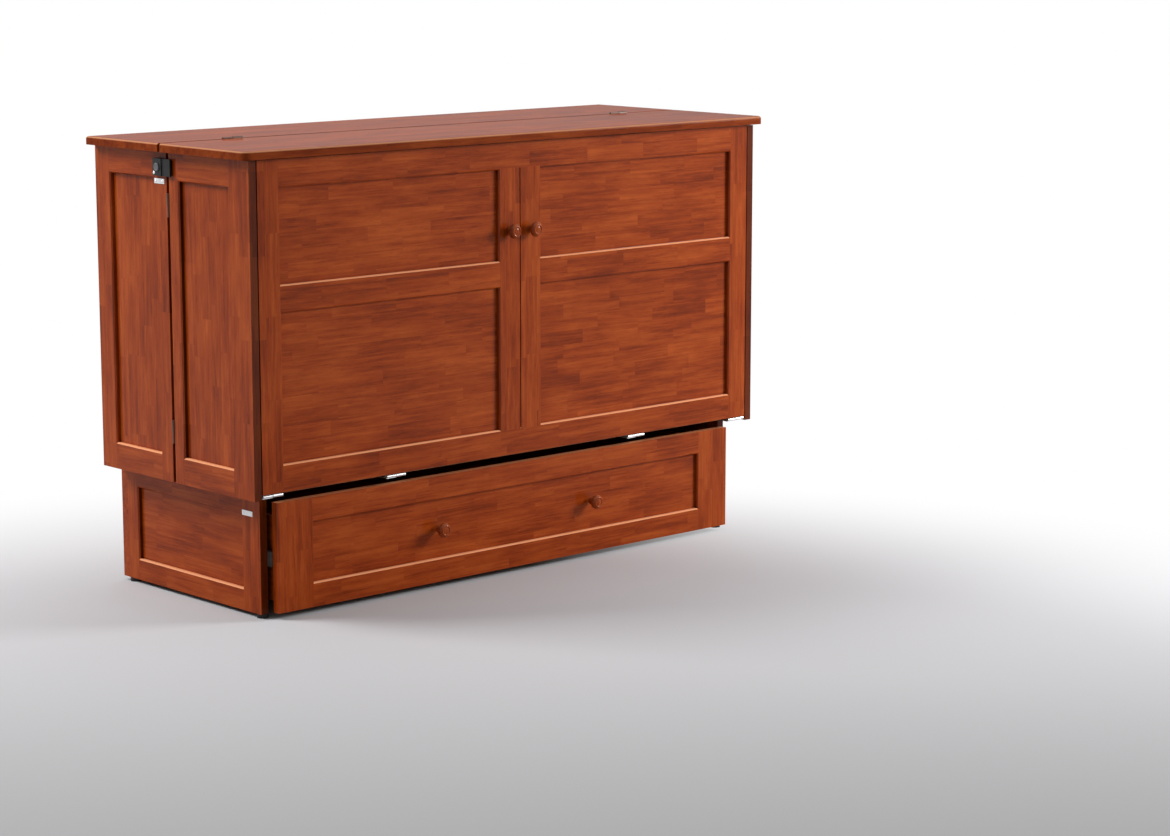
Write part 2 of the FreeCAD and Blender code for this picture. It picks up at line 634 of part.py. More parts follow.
def hinge_row(stem, fixed_name, moving_name, places, levels, where, fixed_turn, moving_turn, **fixed_form):
    """A row of hinges along X: their pinned leaves and their moving leaves."""
    fixed = []
    moving = []
    for number, middle in enumerate(places, start=1):
        start = f"{middle} - hinge_length / 2"
        leaf = hinge_leaf(f"{stem}_fixed_{number}", levels[0], True, **fixed_form)
        fixed.append(group(f"{leaf.Name}_placed", [leaf], start, *where, fixed_turn))
        leaf = hinge_leaf(f"{stem}_moving_{number}", levels[1], False)
        moving.append(group(f"{leaf.Name}_placed", [leaf], start, *where, moving_turn))
    keep(fixed_name, group(f"{stem}_fixed_group", fixed))
    keep(moving_name, group(f"{stem}_moving_group", moving))


def make_front_hinges():
    """Four hinges under the drop front, on cranked leaves screwed to the front bearer."""
    outer = f"({FRONT_HALF} - front_hinge_inset)"
    inner = f"({FRONT_HALF} / 2)"
    hinge_row("front_hinge", "front_hinge_base_leaves", "front_hinge_leaves",
              (f"-{outer}", f"-{inner}", inner, outer), "-+", (DROP_AXIS_Y, DROP_AXIS_Z), STRAIGHT, STRAIGHT,
              reach=f"({DECK_FRONT} + hinge_leaf - {DROP_AXIS_Y})", flange="front_flange")


def make_top_hinges():
    """Two hinges in the gap between the halves of the top."""
    down = Rotation(Vector(1, 0, 0), -90)
    outer = f"({HALF} - top_hinge_inset)"
    hinge_row("top_hinge", "top_hinge_leaves", "top_hinge_flap_leaves",
              (f"-{outer}", outer), "+-", (SPLIT, "height + top_hinge_rise"), down, down)


def make_deck_hinges():
    """Two hinges on the upper ends of the folded decks."""
    folded = Rotation(Vector(1, 0, 0), 180)
    outer = f"({DECK_HALF} - deck_hinge_inset)"
    hinge_row("deck_hinge", "deck_hinge_leaves", "deck_hinge_foot_leaves",
              (f"-{outer}", outer), "+-", (FOLD_AXIS_Y, DECK_AXIS_Z), folded, STRAIGHT)


def make_door_hinges():
    """Two hinges in the split of each side."""
    standing = Rotation(Vector(0, 0, 1), Vector(1, 0, 0), Vector(0, 1, 0), "XYZ")
    fixed = []
    moving = []
    places = ("(base_top + door_hinge_inset)", f"({SWING_TOP} - door_hinge_inset)")
    for number, middle in enumerate(places, start=1):
        where = (f"-{HALF}", SPLIT, f"{middle} - hinge_length / 2", standing)
        leaf = hinge_leaf(f"door_hinge_fixed_{number}", "+", True)
        fixed.append(group(f"{leaf.Name}_placed", [leaf], *where))
        leaf = hinge_leaf(f"door_hinge_moving_{number}", "-", False)
        moving.append(group(f"{leaf.Name}_placed", [leaf], *where))
    keep("door_hinge_side_leaves", both_sides("door_hinge_fixed_pair", group("door_hinge_fixed_group", fixed)))
    keep_left_and_right("door_hinge_leaves", group("door_hinge_moving_group", moving))


def make_latches():
    """A safety latch near the top of each side: a case behind the split and an arm over it."""
    low = f"({TOP_UNDER} - latch_drop)"
    case = board("latch_case", f"-{HALF} - latch_case_depth", f"{SPLIT} + latch_case_back", low,
                 "latch_case_depth", "latch_case_length", "latch_height")
    keep("latch_cases", both_sides("latch_case_pair", case))
    axis_x = f"(-{HALF} - latch_axis_out)"
    axis_y = f"({SPLIT} + latch_axis_back)"
    arm = board("latch_arm", f"{axis_x} - latch_arm_thick / 2", f"{axis_y} - latch_arm_length", low,
                "latch_arm_thick", "latch_arm_length", "latch_height")
    barrel = rod("latch_barrel", "latch_arm_thick / 2 + 1", "latch_height", axis_x, axis_y, low)
    whole = fused("latch_arm_solid", [arm, barrel])
    keep_left_and_right("latch_arm", whole)
    plate = board("latch_plate", f"-{HALF} - plate_thick", f"{SPLIT} + latch_case_back",
                  f"{TOP_UNDER} - latch_plate_drop", "plate_thick", "plate_length", "plate_height")
    keep("latch_plates", both_sides("latch_plate_pair", plate))
    low_plate = board("base_plate", f"-{BASE_HALF} - plate_thick", f"{BASE_FRONT} + base_plate_inset",
                      "base_top - base_plate_drop", "plate_thick", "plate_length", "plate_height")
    keep("base_plates", both_sides("base_plate_pair", low_plate))


def make_drawer():
    """The wide drawer in the base, with its box and its runners."""
    frame = plain_frame("drawer_face", f"(2 * {DRAWER_FACE_HALF})", f"({DRAWER_HIGH} - {DRAWER_LOW})", "drawer_stile",
                        "drawer_stile", "drawer_rail", "drawer_rail",
                        (f"-{DRAWER_FACE_HALF}", DRAWER_FACE, DRAWER_LOW, STRAIGHT))
    for part_word, piece in zip(("stiles", "rails", "panel"), frame):
        keep(f"drawer_front_{part_word}", piece)
    tall = f"({BOX_HIGH} - {BOX_LOW})"
    side = board("drawer_side", f"-{DRAWER_HALF}", DRAWER_BACK_FACE, BOX_LOW, "drawer_board", BOX_LENGTH, tall)
    keep("drawer_sides", both_sides("drawer_side_pair", side))
    inside = f"({DRAWER_HALF} - drawer_board)"
    ends = []
    for number, y in enumerate((DRAWER_BACK_FACE, f"{DRAWER_BACK_FACE} + {BOX_LENGTH} - drawer_board"), start=1):
        ends.append(board(f"drawer_end_{number}", f"-{inside}", y, BOX_LOW, f"2 * {inside}", "drawer_board", tall))
    keep("drawer_ends", group("drawer_end_group", ends))
    keep("drawer_bottom_board", board("drawer_floor_board", f"-{inside}", f"{DRAWER_BACK_FACE} + drawer_board",
                                      f"{BOX_LOW} + drawer_floor_rise", f"2 * {inside}",
                                      f"{BOX_LENGTH} - 2 * drawer_board", "drawer_floor"))
    thick = "(runner_space / 2 - runner_gap / 2)"
    runner_low = f"({BOX_LOW} / 2 + {BOX_HIGH} / 2 - runner_height / 2)"
    fixed = board("fixed_runner", f"-{BASE_HALF} + stock", DRAWER_BACK_FACE, runner_low,
                  thick, BOX_LENGTH, "runner_height")
    sliding = board("sliding_runner", f"-{DRAWER_HALF} - {thick}", DRAWER_BACK_FACE, runner_low,
                    thick, BOX_LENGTH, "runner_height")
    keep("fixed_runners", both_sides("fixed_runner_pair", fixed))
    keep("drawer_runners", both_sides("drawer_runner_pair", sliding))


def make_mattress():
    """Three soft sections that stand folded on the platform."""
    half_thick = value(f"{MATTRESS_THICK} / 2")
    for number, name in enumerate(("mattress_head", "mattress_middle", "mattress_foot"), start=1):
        body = doc.addObject("PartDesign::Body", f"{name}_body")
        near = f"({MATTRESS_BACK} - {number} * {MATTRESS_THICK} - {number - 1} * mattress_gap)"
        half = f"({INNER} - mattress_side_room)"
        low = f"({DECK_TOP} + mattress_gap)"
        corners = [(f"-{half}", near), (half, near), (half, f"{near} + {MATTRESS_THICK}"),
                   (f"-{half}", f"{near} + {MATTRESS_THICK}")]
        solid = padded(body, sketch(body, "XY_Plane", [corners], low), f"{SECTION} - mattress_gap")
        rounded(body, solid, "mattress_corner", lambda edge: edge.BoundBox.YLength > half_thick)
        keep(name, body)


make_sides()
make_base()
make_back_and_top()
make_drop_front()
make_knobs()
make_decks()
make_legs()
make_front_hinges()
make_top_hinges()
make_deck_hinges()
make_door_hinges()
make_latches()
make_drawer()
make_mattress()
doc.recompute()

for item in doc.Objects:
    if "Invalid" in item.State or "Error" in item.State:
        raise RuntimeError(f"{item.Name} failed: {item.State}")
for item in NODES:
    if item.Shape.isNull() or not item.Shape.isValid() or not item.Shape.Solids:
        raise RuntimeError(f"{item.Label} has no valid solid")

os.makedirs("parts", exist_ok=True)
for item in NODES:
    item.Shape.exportStep(f"parts/{item.Label}.step")
print(len(NODES), "sub-parts")
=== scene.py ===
"""Dresses a cabinet bed: lacquered cherry boards, turned knobs, quilted mattress, latches and pale studio."""

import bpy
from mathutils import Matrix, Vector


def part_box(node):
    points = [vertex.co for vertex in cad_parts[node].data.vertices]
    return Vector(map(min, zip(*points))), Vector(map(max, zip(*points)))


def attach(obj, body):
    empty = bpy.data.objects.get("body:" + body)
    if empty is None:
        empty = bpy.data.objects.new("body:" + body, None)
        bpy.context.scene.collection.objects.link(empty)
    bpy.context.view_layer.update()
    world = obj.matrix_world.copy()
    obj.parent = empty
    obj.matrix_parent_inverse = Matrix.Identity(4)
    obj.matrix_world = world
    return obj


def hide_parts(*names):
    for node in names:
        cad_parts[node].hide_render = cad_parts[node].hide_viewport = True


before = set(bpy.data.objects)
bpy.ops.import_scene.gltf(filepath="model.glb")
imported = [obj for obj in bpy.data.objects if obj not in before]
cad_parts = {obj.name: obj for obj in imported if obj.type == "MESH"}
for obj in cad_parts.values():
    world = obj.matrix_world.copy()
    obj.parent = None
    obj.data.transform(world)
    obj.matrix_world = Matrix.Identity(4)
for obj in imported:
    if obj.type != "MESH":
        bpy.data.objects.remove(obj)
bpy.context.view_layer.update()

import math
from collections import namedtuple

import bmesh
import bpy
from bpy.props import FloatProperty, FloatVectorProperty, IntProperty, PointerProperty
from mathutils import Vector

bl_info = {
    "name": "Cabinet bed",
    "version": (1, 0, 0),
    "blender": (4, 5, 0),
    "location": "3D View > Sidebar > Cabinet bed",
    "description": "Lacquered boards, turned knobs, quilted mattress, latches and studio of a cabinet bed",
    "category": "Object",
}

X, Y, Z = 0, 1, 2
WHITE = (1.0, 1.0, 1.0, 1.0)

# -------------------------------------------------------------------- which piece gets which finish

# Cherry boards whose grain runs from side to side, from front to back, and up and down.
CHERRY_ACROSS = (
    "front_rails", "front_panels", "drawer_front_rails", "drawer_front_panel", "base_back", "drawer_ends",
)
CHERRY_DEEP = (
    "side_rails", "base_rails", "base_panels", "door_rails_left", "door_rails_right", "drawer_sides",
)
CHERRY_UPRIGHT = (
    "side_stiles", "side_panels", "front_stiles", "drawer_front_stiles", "door_panel_left",
    "door_panel_right", "front_knobs", "drawer_knobs",
)
# The two halves of the top, and the uprights whose edges that face forward are made darker.
CHERRY_LID = ("top_flap", "top_rear")
CHERRY_CORNER = ("base_stiles", "door_stiles_left", "door_stiles_right")
PLAIN_ACROSS = ("middle_deck", "foot_deck", "platform", "bearers", "drawer_bottom_board")
PLAIN_UPRIGHT = ("back_panel",)
BRIGHT_STEEL = ("front_hinge_base_leaves", "front_hinge_leaves", "latch_plates", "base_plates")
BRONZED_STEEL = (
    "top_hinge_leaves", "top_hinge_flap_leaves", "door_hinge_side_leaves", "door_hinge_leaves_left",
    "door_hinge_leaves_right",
)
DARK_STEEL = (
    "deck_hinge_leaves", "deck_hinge_foot_leaves", "leg_brackets", "fixed_runners", "drawer_runners",
    "foot_legs", "middle_legs",
)
BLACK_PLASTIC = ("feet", "latch_cases", "latch_arm_left", "latch_arm_right")

# -------------------------------------------------------------------- sizes of the small pieces

# Turned forms from their foot to the middle of their face: share of their reach, share of their radius.
KNOB_PROFILE = (
    (-0.05, 0.50), (0.00, 0.50), (0.04, 0.49), (0.12, 0.44), (0.24, 0.41), (0.36, 0.42), (0.45, 0.48),
    (0.50, 0.60), (0.53, 0.80), (0.56, 0.93), (0.60, 0.985), (0.66, 1.0), (0.73, 0.99), (0.80, 0.95),
    (0.86, 0.88), (0.92, 0.79), (0.97, 0.69), (0.99, 0.62), (0.985, 0.57), (0.955, 0.53), (0.945, 0.49),
    (0.955, 0.44), (0.975, 0.36), (0.985, 0.24), (0.99, 0.12), (0.992, 0.0),
)
CAP_PROFILE = (
    (-0.2, 1.0), (0.35, 1.0), (0.70, 0.97), (0.92, 0.90), (1.0, 0.80), (0.98, 0.66), (0.80, 0.60),
    (0.78, 0.50), (0.82, 0.30), (0.84, 0.0),
)
BUTTON_PROFILE = (
    (-0.2, 1.0), (0.25, 1.0), (0.55, 0.93), (0.80, 0.75), (0.94, 0.50), (0.99, 0.25), (1.0, 0.0),
)
SCREW_PROFILE = (
    (-0.2, 1.0), (0.20, 1.0), (0.55, 0.92), (0.80, 0.75), (0.92, 0.55), (0.97, 0.40), (1.0, 0.22), (1.0, 0.0),
)
KNOB_SEGMENTS = 56

# Reach, radius and segments round of the fittings, in metres.
CAP_SIZE = (0.003, 0.010, 40)
BUTTON_SIZE = (0.0022, 0.0038, 28)
SCREW_SIZE = (0.0012, 0.0034, 32)
BUTTON_FROM_CAP = (0.0, 0.0105, -0.0135)
SCREW_FROM_END = 0.007
CROSS_CUT_DEPTH = 0.0007
CROSS_CUT_SHARE = 0.6  # of the screw head's radius
CROSS_CUT_ARMS = 4
CROSS_ARM_SPREAD = 32  # an arm takes a step of the ring in each 32 to either side

# A mattress section, in metres: what its mesh keeps free of its box for swell and piping, its corners, how
# far its sides and ends pull in between them, how far its boxing strip swells, and its piping.
SECTION_ROOM = 0.007
SECTION_CORNER = 0.05
SIDE_WAIST = 0.007
END_WAIST = 0.005
SEAM_ROOM = 0.002
BOXING_SWELL = 0.0045
PIPING_RADIUS = 0.0042
PIPING_STANDS_OUT = 0.0015
PAD_STEPS = 8
BOXING_STEPS = 8
PAD_FULLNESS = 0.42
STITCHED_RISE, PAD_RISE = 0.30, 0.70  # shares of the quilt's depth at a stitched line, and what a pad adds
COVER_LOOP = 0.0032
PIPING_LOOP = 0.0022

# -------------------------------------------------------------------- looks of the wood

Staves = namedtuple("Staves", "width length variety")
# Share of the stain's colour, lowered on the lid as painted shade, dullness and coat of the lacquer, the
# share of painted highlight on up-facing ledges and eased edges, and how much of its tone an edge that looks
# forward keeps.
Surface = namedtuple("Surface", "strength dullness coat wear edge_tone")

CHERRY_SURFACES = {
    "cherry_board": Surface(strength=1.0, dullness=0.20, coat=0.45, wear=0.95, edge_tone=1.0),
    "cherry_corner": Surface(strength=1.0, dullness=0.20, coat=0.45, wear=0.95, edge_tone=0.36),
    # The lid's copy of the cherry is darkened to 0.66 of the stain as painted shade on the top.
    "cherry_lid": Surface(strength=0.66, dullness=0.36, coat=0.12, wear=0.55, edge_tone=1.0),
    "cherry_knob": Surface(strength=0.88, dullness=0.16, coat=0.48, wear=0.10, edge_tone=1.0),
}
PLAIN_SURFACE = Surface(strength=1.0, dullness=0.34, coat=0.15, wear=0.0, edge_tone=1.0)
PLAIN_STAVES = Staves(width=0.07, length=0.7, variety=0.20)

# How fast each texture of the grain changes across it and along it, per metre.
STREAK = (85.0, 4.5)
FIBRE = (430.0, 16.0)
PORE = (1150.0, 55.0)
BLOTCH = (16.0, 5.0)
ROW_SHIFT = 9.0  # staves by which the rows start apart, at most
STAVE_SHIFT = 17.0  # metres by which the grain of the staves is taken apart, at most
GLUE_LINE = (0.0002, 0.0012)
RECESS_REACH = 0.03  # metres over which a near surface darkens the colour, as painted shade
# Gain and added white that make the pale colour of the painted highlight.
HIGHLIGHT_GAIN, HIGHLIGHT_WHITE = 1.3, (0.30, 0.26, 0.16)

# -------------------------------------------------------------------- lamps, floor and camera

# Name, place, the point it looks at, size, and the setting that holds its power.
LAMPS = (
    ("top_lamp", (-0.2, 0.4, 3.6), (0.0, 0.0, 0.3), 2.4, "top_power"),
    ("right_lamp", (3.3, -2.6, 1.9), (0.2, 0.0, 0.6), 1.4, "right_power"),
    ("left_lamp", (-3.4, 2.5, 4.2), (0.0, 0.0, 0.5), 2.2, "left_power"),
)
CAMERA_PLACE = (-4.6708, -5.5753, 1.6205)
CAMERA_DIP = 0.173
CAMERA_TURN = 0.746
CAMERA_SENSOR_MM = 36.0
CAMERA_FAR = 200.0
FLOOR_HALF = 60.0
# In metres from the bed along the camera's view: where the floor's painted shade turns from the darker near
# tone to the lighter far tone, where its paper goes white before the camera, and the middle and reach of the
# round part that keeps its tone.
FALLOFF_TURNS = (-2.9, 0.7)
WHITE_BEFORE = (-3.3, -2.45)
ROUND_MIDDLE = -2.0
ROUND_REACH = (1.85, 3.05)


# -------------------------------------------------------------------- finishes

class Wiring:
    """A node tree, wired up node by node."""

    def __init__(self, tree):
        self.tree = tree

    def plug(self, socket, value):
        """Gives a socket a link or a value of its own."""
        if isinstance(value, bpy.types.NodeSocket):
            self.tree.links.new(value, socket)
        else:
            socket.default_value = value

    def add(self, kind, inputs=None, **settings):
        """A new node, with its settings made and its inputs plugged."""
        made = self.tree.nodes.new(kind)
        for setting, value in settings.items():
            setattr(made, setting, value)
        for socket, value in (inputs or {}).items():
            self.plug(made.inputs[socket], value)
        return made

    def maths(self, operation, first, second=0.0, third=0.0):
        return self.add("ShaderNodeMath", {0: first, 1: second, 2: third}, operation=operation).outputs[0]

    def vector_maths(self, operation, first, second, output=0):
        return self.add("ShaderNodeVectorMath", {0: first, 1: second}, operation=operation).outputs[output]

    def weigh(self, *parts, base=0.0):
        """A base and each part times its weight, all added up."""
        total = base
        for value, weight in reversed(parts):
            total = self.maths("MULTIPLY_ADD", value, weight, total)
        return total

    def seen(self):
        """1 for the camera, also by way of a mirror or a pane, and 0 for all other light."""
        path = self.add("ShaderNodeLightPath").outputs
        return self.maths("MAXIMUM", path["Is Camera Ray"], self.maths(
            "MAXIMUM", path["Is Glossy Ray"], path["Is Transmission Ray"]))


class Finish(Wiring):
    """One material, with what its textures are made of."""

    def __init__(self, name):
        self.material = bpy.data.materials.new(name)
        self.material.use_nodes = True
        super().__init__(self.material.node_tree)
        self.shader = self.tree.nodes["Principled BSDF"]
        self.place = self.add("ShaderNodeTexCoord").outputs["Object"]

    def clouds(self, vector, scale=1.0, detail=4.0, roughness=0.55, distortion=0.0):
        return self.add("ShaderNodeTexNoise", {
            "Vector": vector, "Scale": scale, "Detail": detail, "Roughness": roughness,
            "Distortion": distortion}).outputs[0]

    def chance(self, vector):
        """A number from 0 to 1 for each cell of a flat grid."""
        return self.add("ShaderNodeTexWhiteNoise", {"Vector": vector}, noise_dimensions="2D").outputs[0]

    def steps(self, value, low, high, out_low=0.0, out_high=1.0):
        """value from low to high, as out_low to out_high, with soft ends."""
        return self.add("ShaderNodeMapRange", {0: value, 1: low, 2: high, 3: out_low, 4: out_high},
                        interpolation_type="SMOOTHSTEP").outputs[0]

    def ramp(self, value, *stops):
        """The colour at value on a scale of places and colours."""
        made = self.add("ShaderNodeValToRGB", {0: value})
        elements = made.color_ramp.elements
        while len(elements) < len(stops):
            elements.new(0.5)
        for stop, (place, colour) in zip(elements, stops):
            stop.position = place
            stop.color = (*colour, 1.0)
        return made.outputs[0]

    def mix(self, share, first, second, **settings):
        """Two colours mixed, with a share of the second one."""
        return self.add("ShaderNodeMix", {0: share, 6: first, 7: second},
                        data_type="RGBA", **settings).outputs[2]

    def darken(self, colour, amount):
        """colour times amount, which is a number from 0 to 1 at each point."""
        grey = self.add("ShaderNodeCombineColor", {0: amount, 1: amount, 2: amount}).outputs[0]
        return self.mix(1.0, colour, grey, blend_type="MULTIPLY")

    def bump(self, height, strength, distance):
        self.plug(self.shader.inputs["Normal"], self.add("ShaderNodeBump", {
            "Height": height, "Strength": strength, "Distance": distance}).outputs[0])

    def set(self, **sockets):
        """Plugs the shader's own sockets and returns the material."""
        for name, value in sockets.items():
            self.plug(self.shader.inputs[name.replace("_", " ").title().replace("Ior", "IOR")], value)
        return self.material


def wood(name, grain, stains, staves, surface):
    """Boards glued up from short staves, stained and lacquered, with the grain along one axis."""
    f = Finish(name)
    deep, middle, pale = (tuple(surface.strength * c for c in stain) for stain in stains)

    # Rows of staves, each with a start of its own, and the tone of each stave.
    axes = f.add("ShaderNodeSeparateXYZ", {0: f.place}).outputs
    across = f.maths("ADD", *[axes[axis] for axis in (X, Y, Z) if axis != grain])
    row_place = f.maths("DIVIDE", across, staves.width)
    row = f.maths("FLOOR", row_place)
    start = f.add("ShaderNodeTexWhiteNoise", {"W": row}, noise_dimensions="1D").outputs[0]
    end_place = f.maths("ADD", f.maths("DIVIDE", axes[grain], staves.length),
                        f.maths("MULTIPLY", start, ROW_SHIFT))
    stave = f.add("ShaderNodeCombineXYZ", {0: row, 1: f.maths("FLOOR", end_place)}).outputs[0]
    tone = f.chance(stave)
    tint = f.chance(f.vector_maths("MULTIPLY", stave, (1.7, 2.3, 1.0)))

    # The grain of each stave is cut from a place of its own.
    shift = f.maths("MULTIPLY", tone, STAVE_SHIFT)
    own_place = f.vector_maths("ADD", f.place, f.add("ShaderNodeCombineXYZ", {
        0: shift, 1: shift, 2: shift}).outputs[0])

    def drawn_out(place, texture):
        over, along = texture
        return f.vector_maths("MULTIPLY", place, [along if axis == grain else over for axis in (X, Y, Z)])

    streak = f.clouds(drawn_out(own_place, STREAK), detail=5.0, roughness=0.62, distortion=0.55)
    fibre = f.clouds(drawn_out(own_place, FIBRE), detail=3.0, roughness=0.6)
    pore = f.clouds(drawn_out(own_place, PORE), detail=1.0)
    blotch = f.clouds(drawn_out(f.place, BLOTCH), detail=3.0, roughness=0.6)
    shade = f.weigh((tone, staves.variety), (streak, 0.72), (fibre, 0.30), (blotch, 0.56))
    shade = f.steps(shade, 0.45, 1.10 + staves.variety)
    colour = f.ramp(shade, (0.0, deep), (0.48, middle), (1.0, pale))

    # Glue lines and pores are darker, and corners and gaps close to another surface are darkened as painted
    # shade.
    row_edge = f.maths("MULTIPLY", f.maths("PINGPONG", row_place, 0.5), staves.width)
    end_edge = f.maths("MULTIPLY", f.maths("PINGPONG", end_place, 0.5), staves.length)
    colour = f.darken(colour, f.steps(f.maths("MINIMUM", row_edge, end_edge), *GLUE_LINE, 0.92, 1.0))
    colour = f.darken(colour, f.steps(pore, 0.60, 0.72, 1.0, 0.72))
    colour = f.darken(colour, f.steps(tint, 0.0, 1.0, 0.95, 1.0))
    open_air = f.add("ShaderNodeAmbientOcclusion", {"Distance": RECESS_REACH}, samples=6).outputs["AO"]
    facing = f.add("ShaderNodeSeparateXYZ", {0: f.add("ShaderNodeTexCoord").outputs["Normal"]}).outputs
    ledge = f.steps(facing[Z], 0.30, 0.75)
    painted_corner_shade = f.steps(open_air, 0.10, 0.72, 0.22, 1.0)
    colour = f.darken(colour, f.maths("MAXIMUM", painted_corner_shade, ledge))
    # Faces that look forward, down the -Y axis, keep only edge_tone of their colour, so on the corner
    # uprights they are darker.
    colour = f.darken(colour, f.steps(facing[Y], -0.95, -0.70, surface.edge_tone, 1.0))

    # Painted highlight: up-facing ledges under the panels and the eased upper edges are turned pale.
    in_recess = f.maths("MULTIPLY", ledge, f.steps(open_air, 0.78, 0.97, 1.0, 0.0))
    eased = f.maths("MULTIPLY", f.steps(facing[Z], 0.25, 0.60), f.steps(facing[Z], 0.88, 0.985, 1.0, 0.0))
    highlight_mask = f.maths("MULTIPLY", f.maths("MAXIMUM", in_recess, eased), surface.wear)
    highlight_colour = [min(1.0, HIGHLIGHT_GAIN * c + white) for c, white in zip(pale, HIGHLIGHT_WHITE)]
    colour = f.mix(highlight_mask, colour, (*highlight_colour, 1.0))

    dents = f.clouds(f.place, scale=38.0, detail=2.0)
    f.bump(f.weigh((pore, -0.5), (fibre, 0.6), (dents, 0.9)), 0.22, 0.0006)
    return f.set(
        base_color=colour, roughness=f.weigh((fibre, 0.16), (blotch, 0.10), base=surface.dullness),
        specular_ior_level=0.02, coat_weight=surface.coat, coat_ior=1.3, coat_roughness=0.07)


def steel(name, colour, dullness):
    """Rolled steel with fine brush lines and faint stains."""
    f = Finish(name)
    brush = f.clouds(f.vector_maths("MULTIPLY", f.place, (90.0, 900.0, 900.0)), detail=3.0)
    stain = f.clouds(f.place, scale=45.0, detail=4.0)
    tone = f.ramp(stain, (0.30, tuple(0.82 * c for c in colour)), (0.72, colour))
    f.bump(brush, 0.15, 0.0003)
    return f.set(base_color=tone, metallic=1.0,
                 roughness=f.weigh((brush, 0.22), (stain, 0.08), base=dullness))


def painted_steel(name, colour):
    """Baked enamel with a slight orange peel and rubbed lighter places."""
    f = Finish(name)
    peel = f.clouds(f.place, scale=650.0, detail=2.0)
    rub = f.clouds(f.place, scale=24.0, detail=5.0, roughness=0.65)
    tone = f.ramp(rub, (0.40, colour), (0.66, tuple(1.5 * c + 0.01 for c in colour)),
                  (0.74, tuple(2.1 * c + 0.02 for c in colour)))
    f.bump(peel, 0.25, 0.0004)
    return f.set(base_color=tone, roughness=f.weigh((rub, 0.22), base=0.28), specular_ior_level=0.45)


def moulded_plastic(name, colour):
    """Moulded plastic with a fine spark-eroded grain and dust in places."""
    f = Finish(name)
    spark = f.clouds(f.place, scale=1400.0, detail=2.0)
    dust = f.clouds(f.place, scale=60.0, detail=4.0)
    tone = f.ramp(dust, (0.42, colour), (0.78, tuple(1.3 * c + 0.004 for c in colour)))
    f.bump(spark, 0.3, 0.0003)
    return f.set(base_color=tone, roughness=f.weigh((dust, 0.2), base=0.36), specular_ior_level=0.22)


def knitted_cloth(name, colour, loop):
    """Stretch-knit mattress cloth: rows of small loops, a soft nap and uneven tone."""
    f = Finish(name)
    axes = f.add("ShaderNodeSeparateXYZ", {0: f.place}).outputs
    turn = 2.0 * math.pi / loop
    course = f.maths("SINE", f.maths("MULTIPLY", axes[Z], turn))
    wale = f.maths("SINE", f.weigh((axes[X], turn), (course, 1.1)))
    rib = f.maths("SINE", f.maths("MULTIPLY", axes[Y], turn))
    loops = f.weigh((wale, 0.25), (rib, 0.2), (course, 0.2), base=0.5)
    nap = f.clouds(f.place, scale=900.0, detail=2.0)
    cloud = f.clouds(f.place, scale=7.0, detail=4.0)
    shade = f.weigh((loops, 0.55), (cloud, 0.35), (nap, 0.2))
    tone = f.ramp(shade, (0.15, tuple(0.72 * c for c in colour)), (0.85, colour))
    f.bump(f.weigh((nap, 0.4), base=loops), 0.5, 0.0007)
    return f.set(base_color=tone, roughness=f.weigh((nap, 0.1), base=0.82), specular_ior_level=0.2,
                 sheen_weight=0.25)


def paint(names, finish):
    """Gives the named boards and fittings of the frame one finish."""
    for name in names:
        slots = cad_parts[name].data.materials
        if not len(slots):
            slots.append(finish)
        for index in range(len(slots)):
            slots[index] = finish


def cherry(grain, kind="cherry_board"):
    """The stained cherry of the outside for one grain direction, made once."""
    name = kind + "_" + "xyz"[grain]
    if name in bpy.data.materials:
        return bpy.data.materials[name]
    s = bpy.context.scene.cabinet_bed
    return wood(name, grain, (s.cherry_deep, s.cherry_middle, s.cherry_pale),
                Staves(s.stave_width, s.stave_length, s.stave_variety), CHERRY_SURFACES[kind])


# -------------------------------------------------------------------- shapes

def new_piece(name, mesh, finish, body):
    """Puts a closed mesh in the scene as a smooth piece that rides on one body."""
    data = bpy.data.meshes.new(name)
    bmesh.ops.recalc_face_normals(mesh, faces=mesh.faces)
    mesh.to_mesh(data)
    mesh.free()
    data.materials.append(finish)
    data.shade_smooth()
    piece = bpy.data.objects.new(name, data)
    bpy.context.scene.collection.objects.link(piece)
    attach(piece, body)
    return piece


def bridge(mesh, rings):
    """Joins each ring of points to the next one with four-sided faces."""
    for lower, upper in zip(rings, rings[1:]):
        for step in range(len(lower)):
            after = (step + 1) % len(lower)
            mesh.faces.new((lower[step], lower[after], upper[after], upper[step]))


def turned(profile, foot, axis, reach, radius, segments, cross=0.0):
    """A turned form on a foot point along an axis. cross is the depth of a driver's cut in its middle."""
    axis = Vector(axis).normalized()
    side = axis.orthogonal().normalized()
    other = axis.cross(side)
    between_arms = segments // CROSS_CUT_ARMS
    mesh = bmesh.new()
    rings = []
    for height, width in profile[:-1]:
        ring = []
        for step in range(segments):
            angle = 2.0 * math.pi * step / segments
            in_arm = min(step % between_arms, -step % between_arms) <= segments // CROSS_ARM_SPREAD
            cut = cross if in_arm and width < CROSS_CUT_SHARE else 0.0
            ring.append(mesh.verts.new(foot + axis * (reach * height - cut) + radius * width * (
                math.cos(angle) * side + math.sin(angle) * other)))
        rings.append(ring)
    bridge(mesh, rings)
    tip = mesh.verts.new(foot + axis * (reach * profile[-1][0] - cross))
    for step in range(segments):
        mesh.faces.new((rings[-1][step], rings[-1][(step + 1) % segments], tip))
    mesh.faces.new(rings[0])
    return mesh


def turned_knobs(node, body, label):
    """Smooth turned knobs in place of the plain pair of a node."""
    low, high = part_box(node)
    radius = (high.z - low.z) / 2.0
    out = high.x - radius
    if out < radius:
        raise RuntimeError(f"{node} is no pair of knobs side by side")
    for word, x in (("left", -out), ("right", out)):
        foot = Vector((x, high.y, (low.z + high.z) / 2.0))
        mesh = turned(KNOB_PROFILE, foot, (0.0, -1.0, 0.0), high.y - low.y, radius, KNOB_SEGMENTS)
        piece = new_piece(f"{label}_{word}", mesh, cherry(Z, "cherry_knob"), body)
        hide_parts(node)


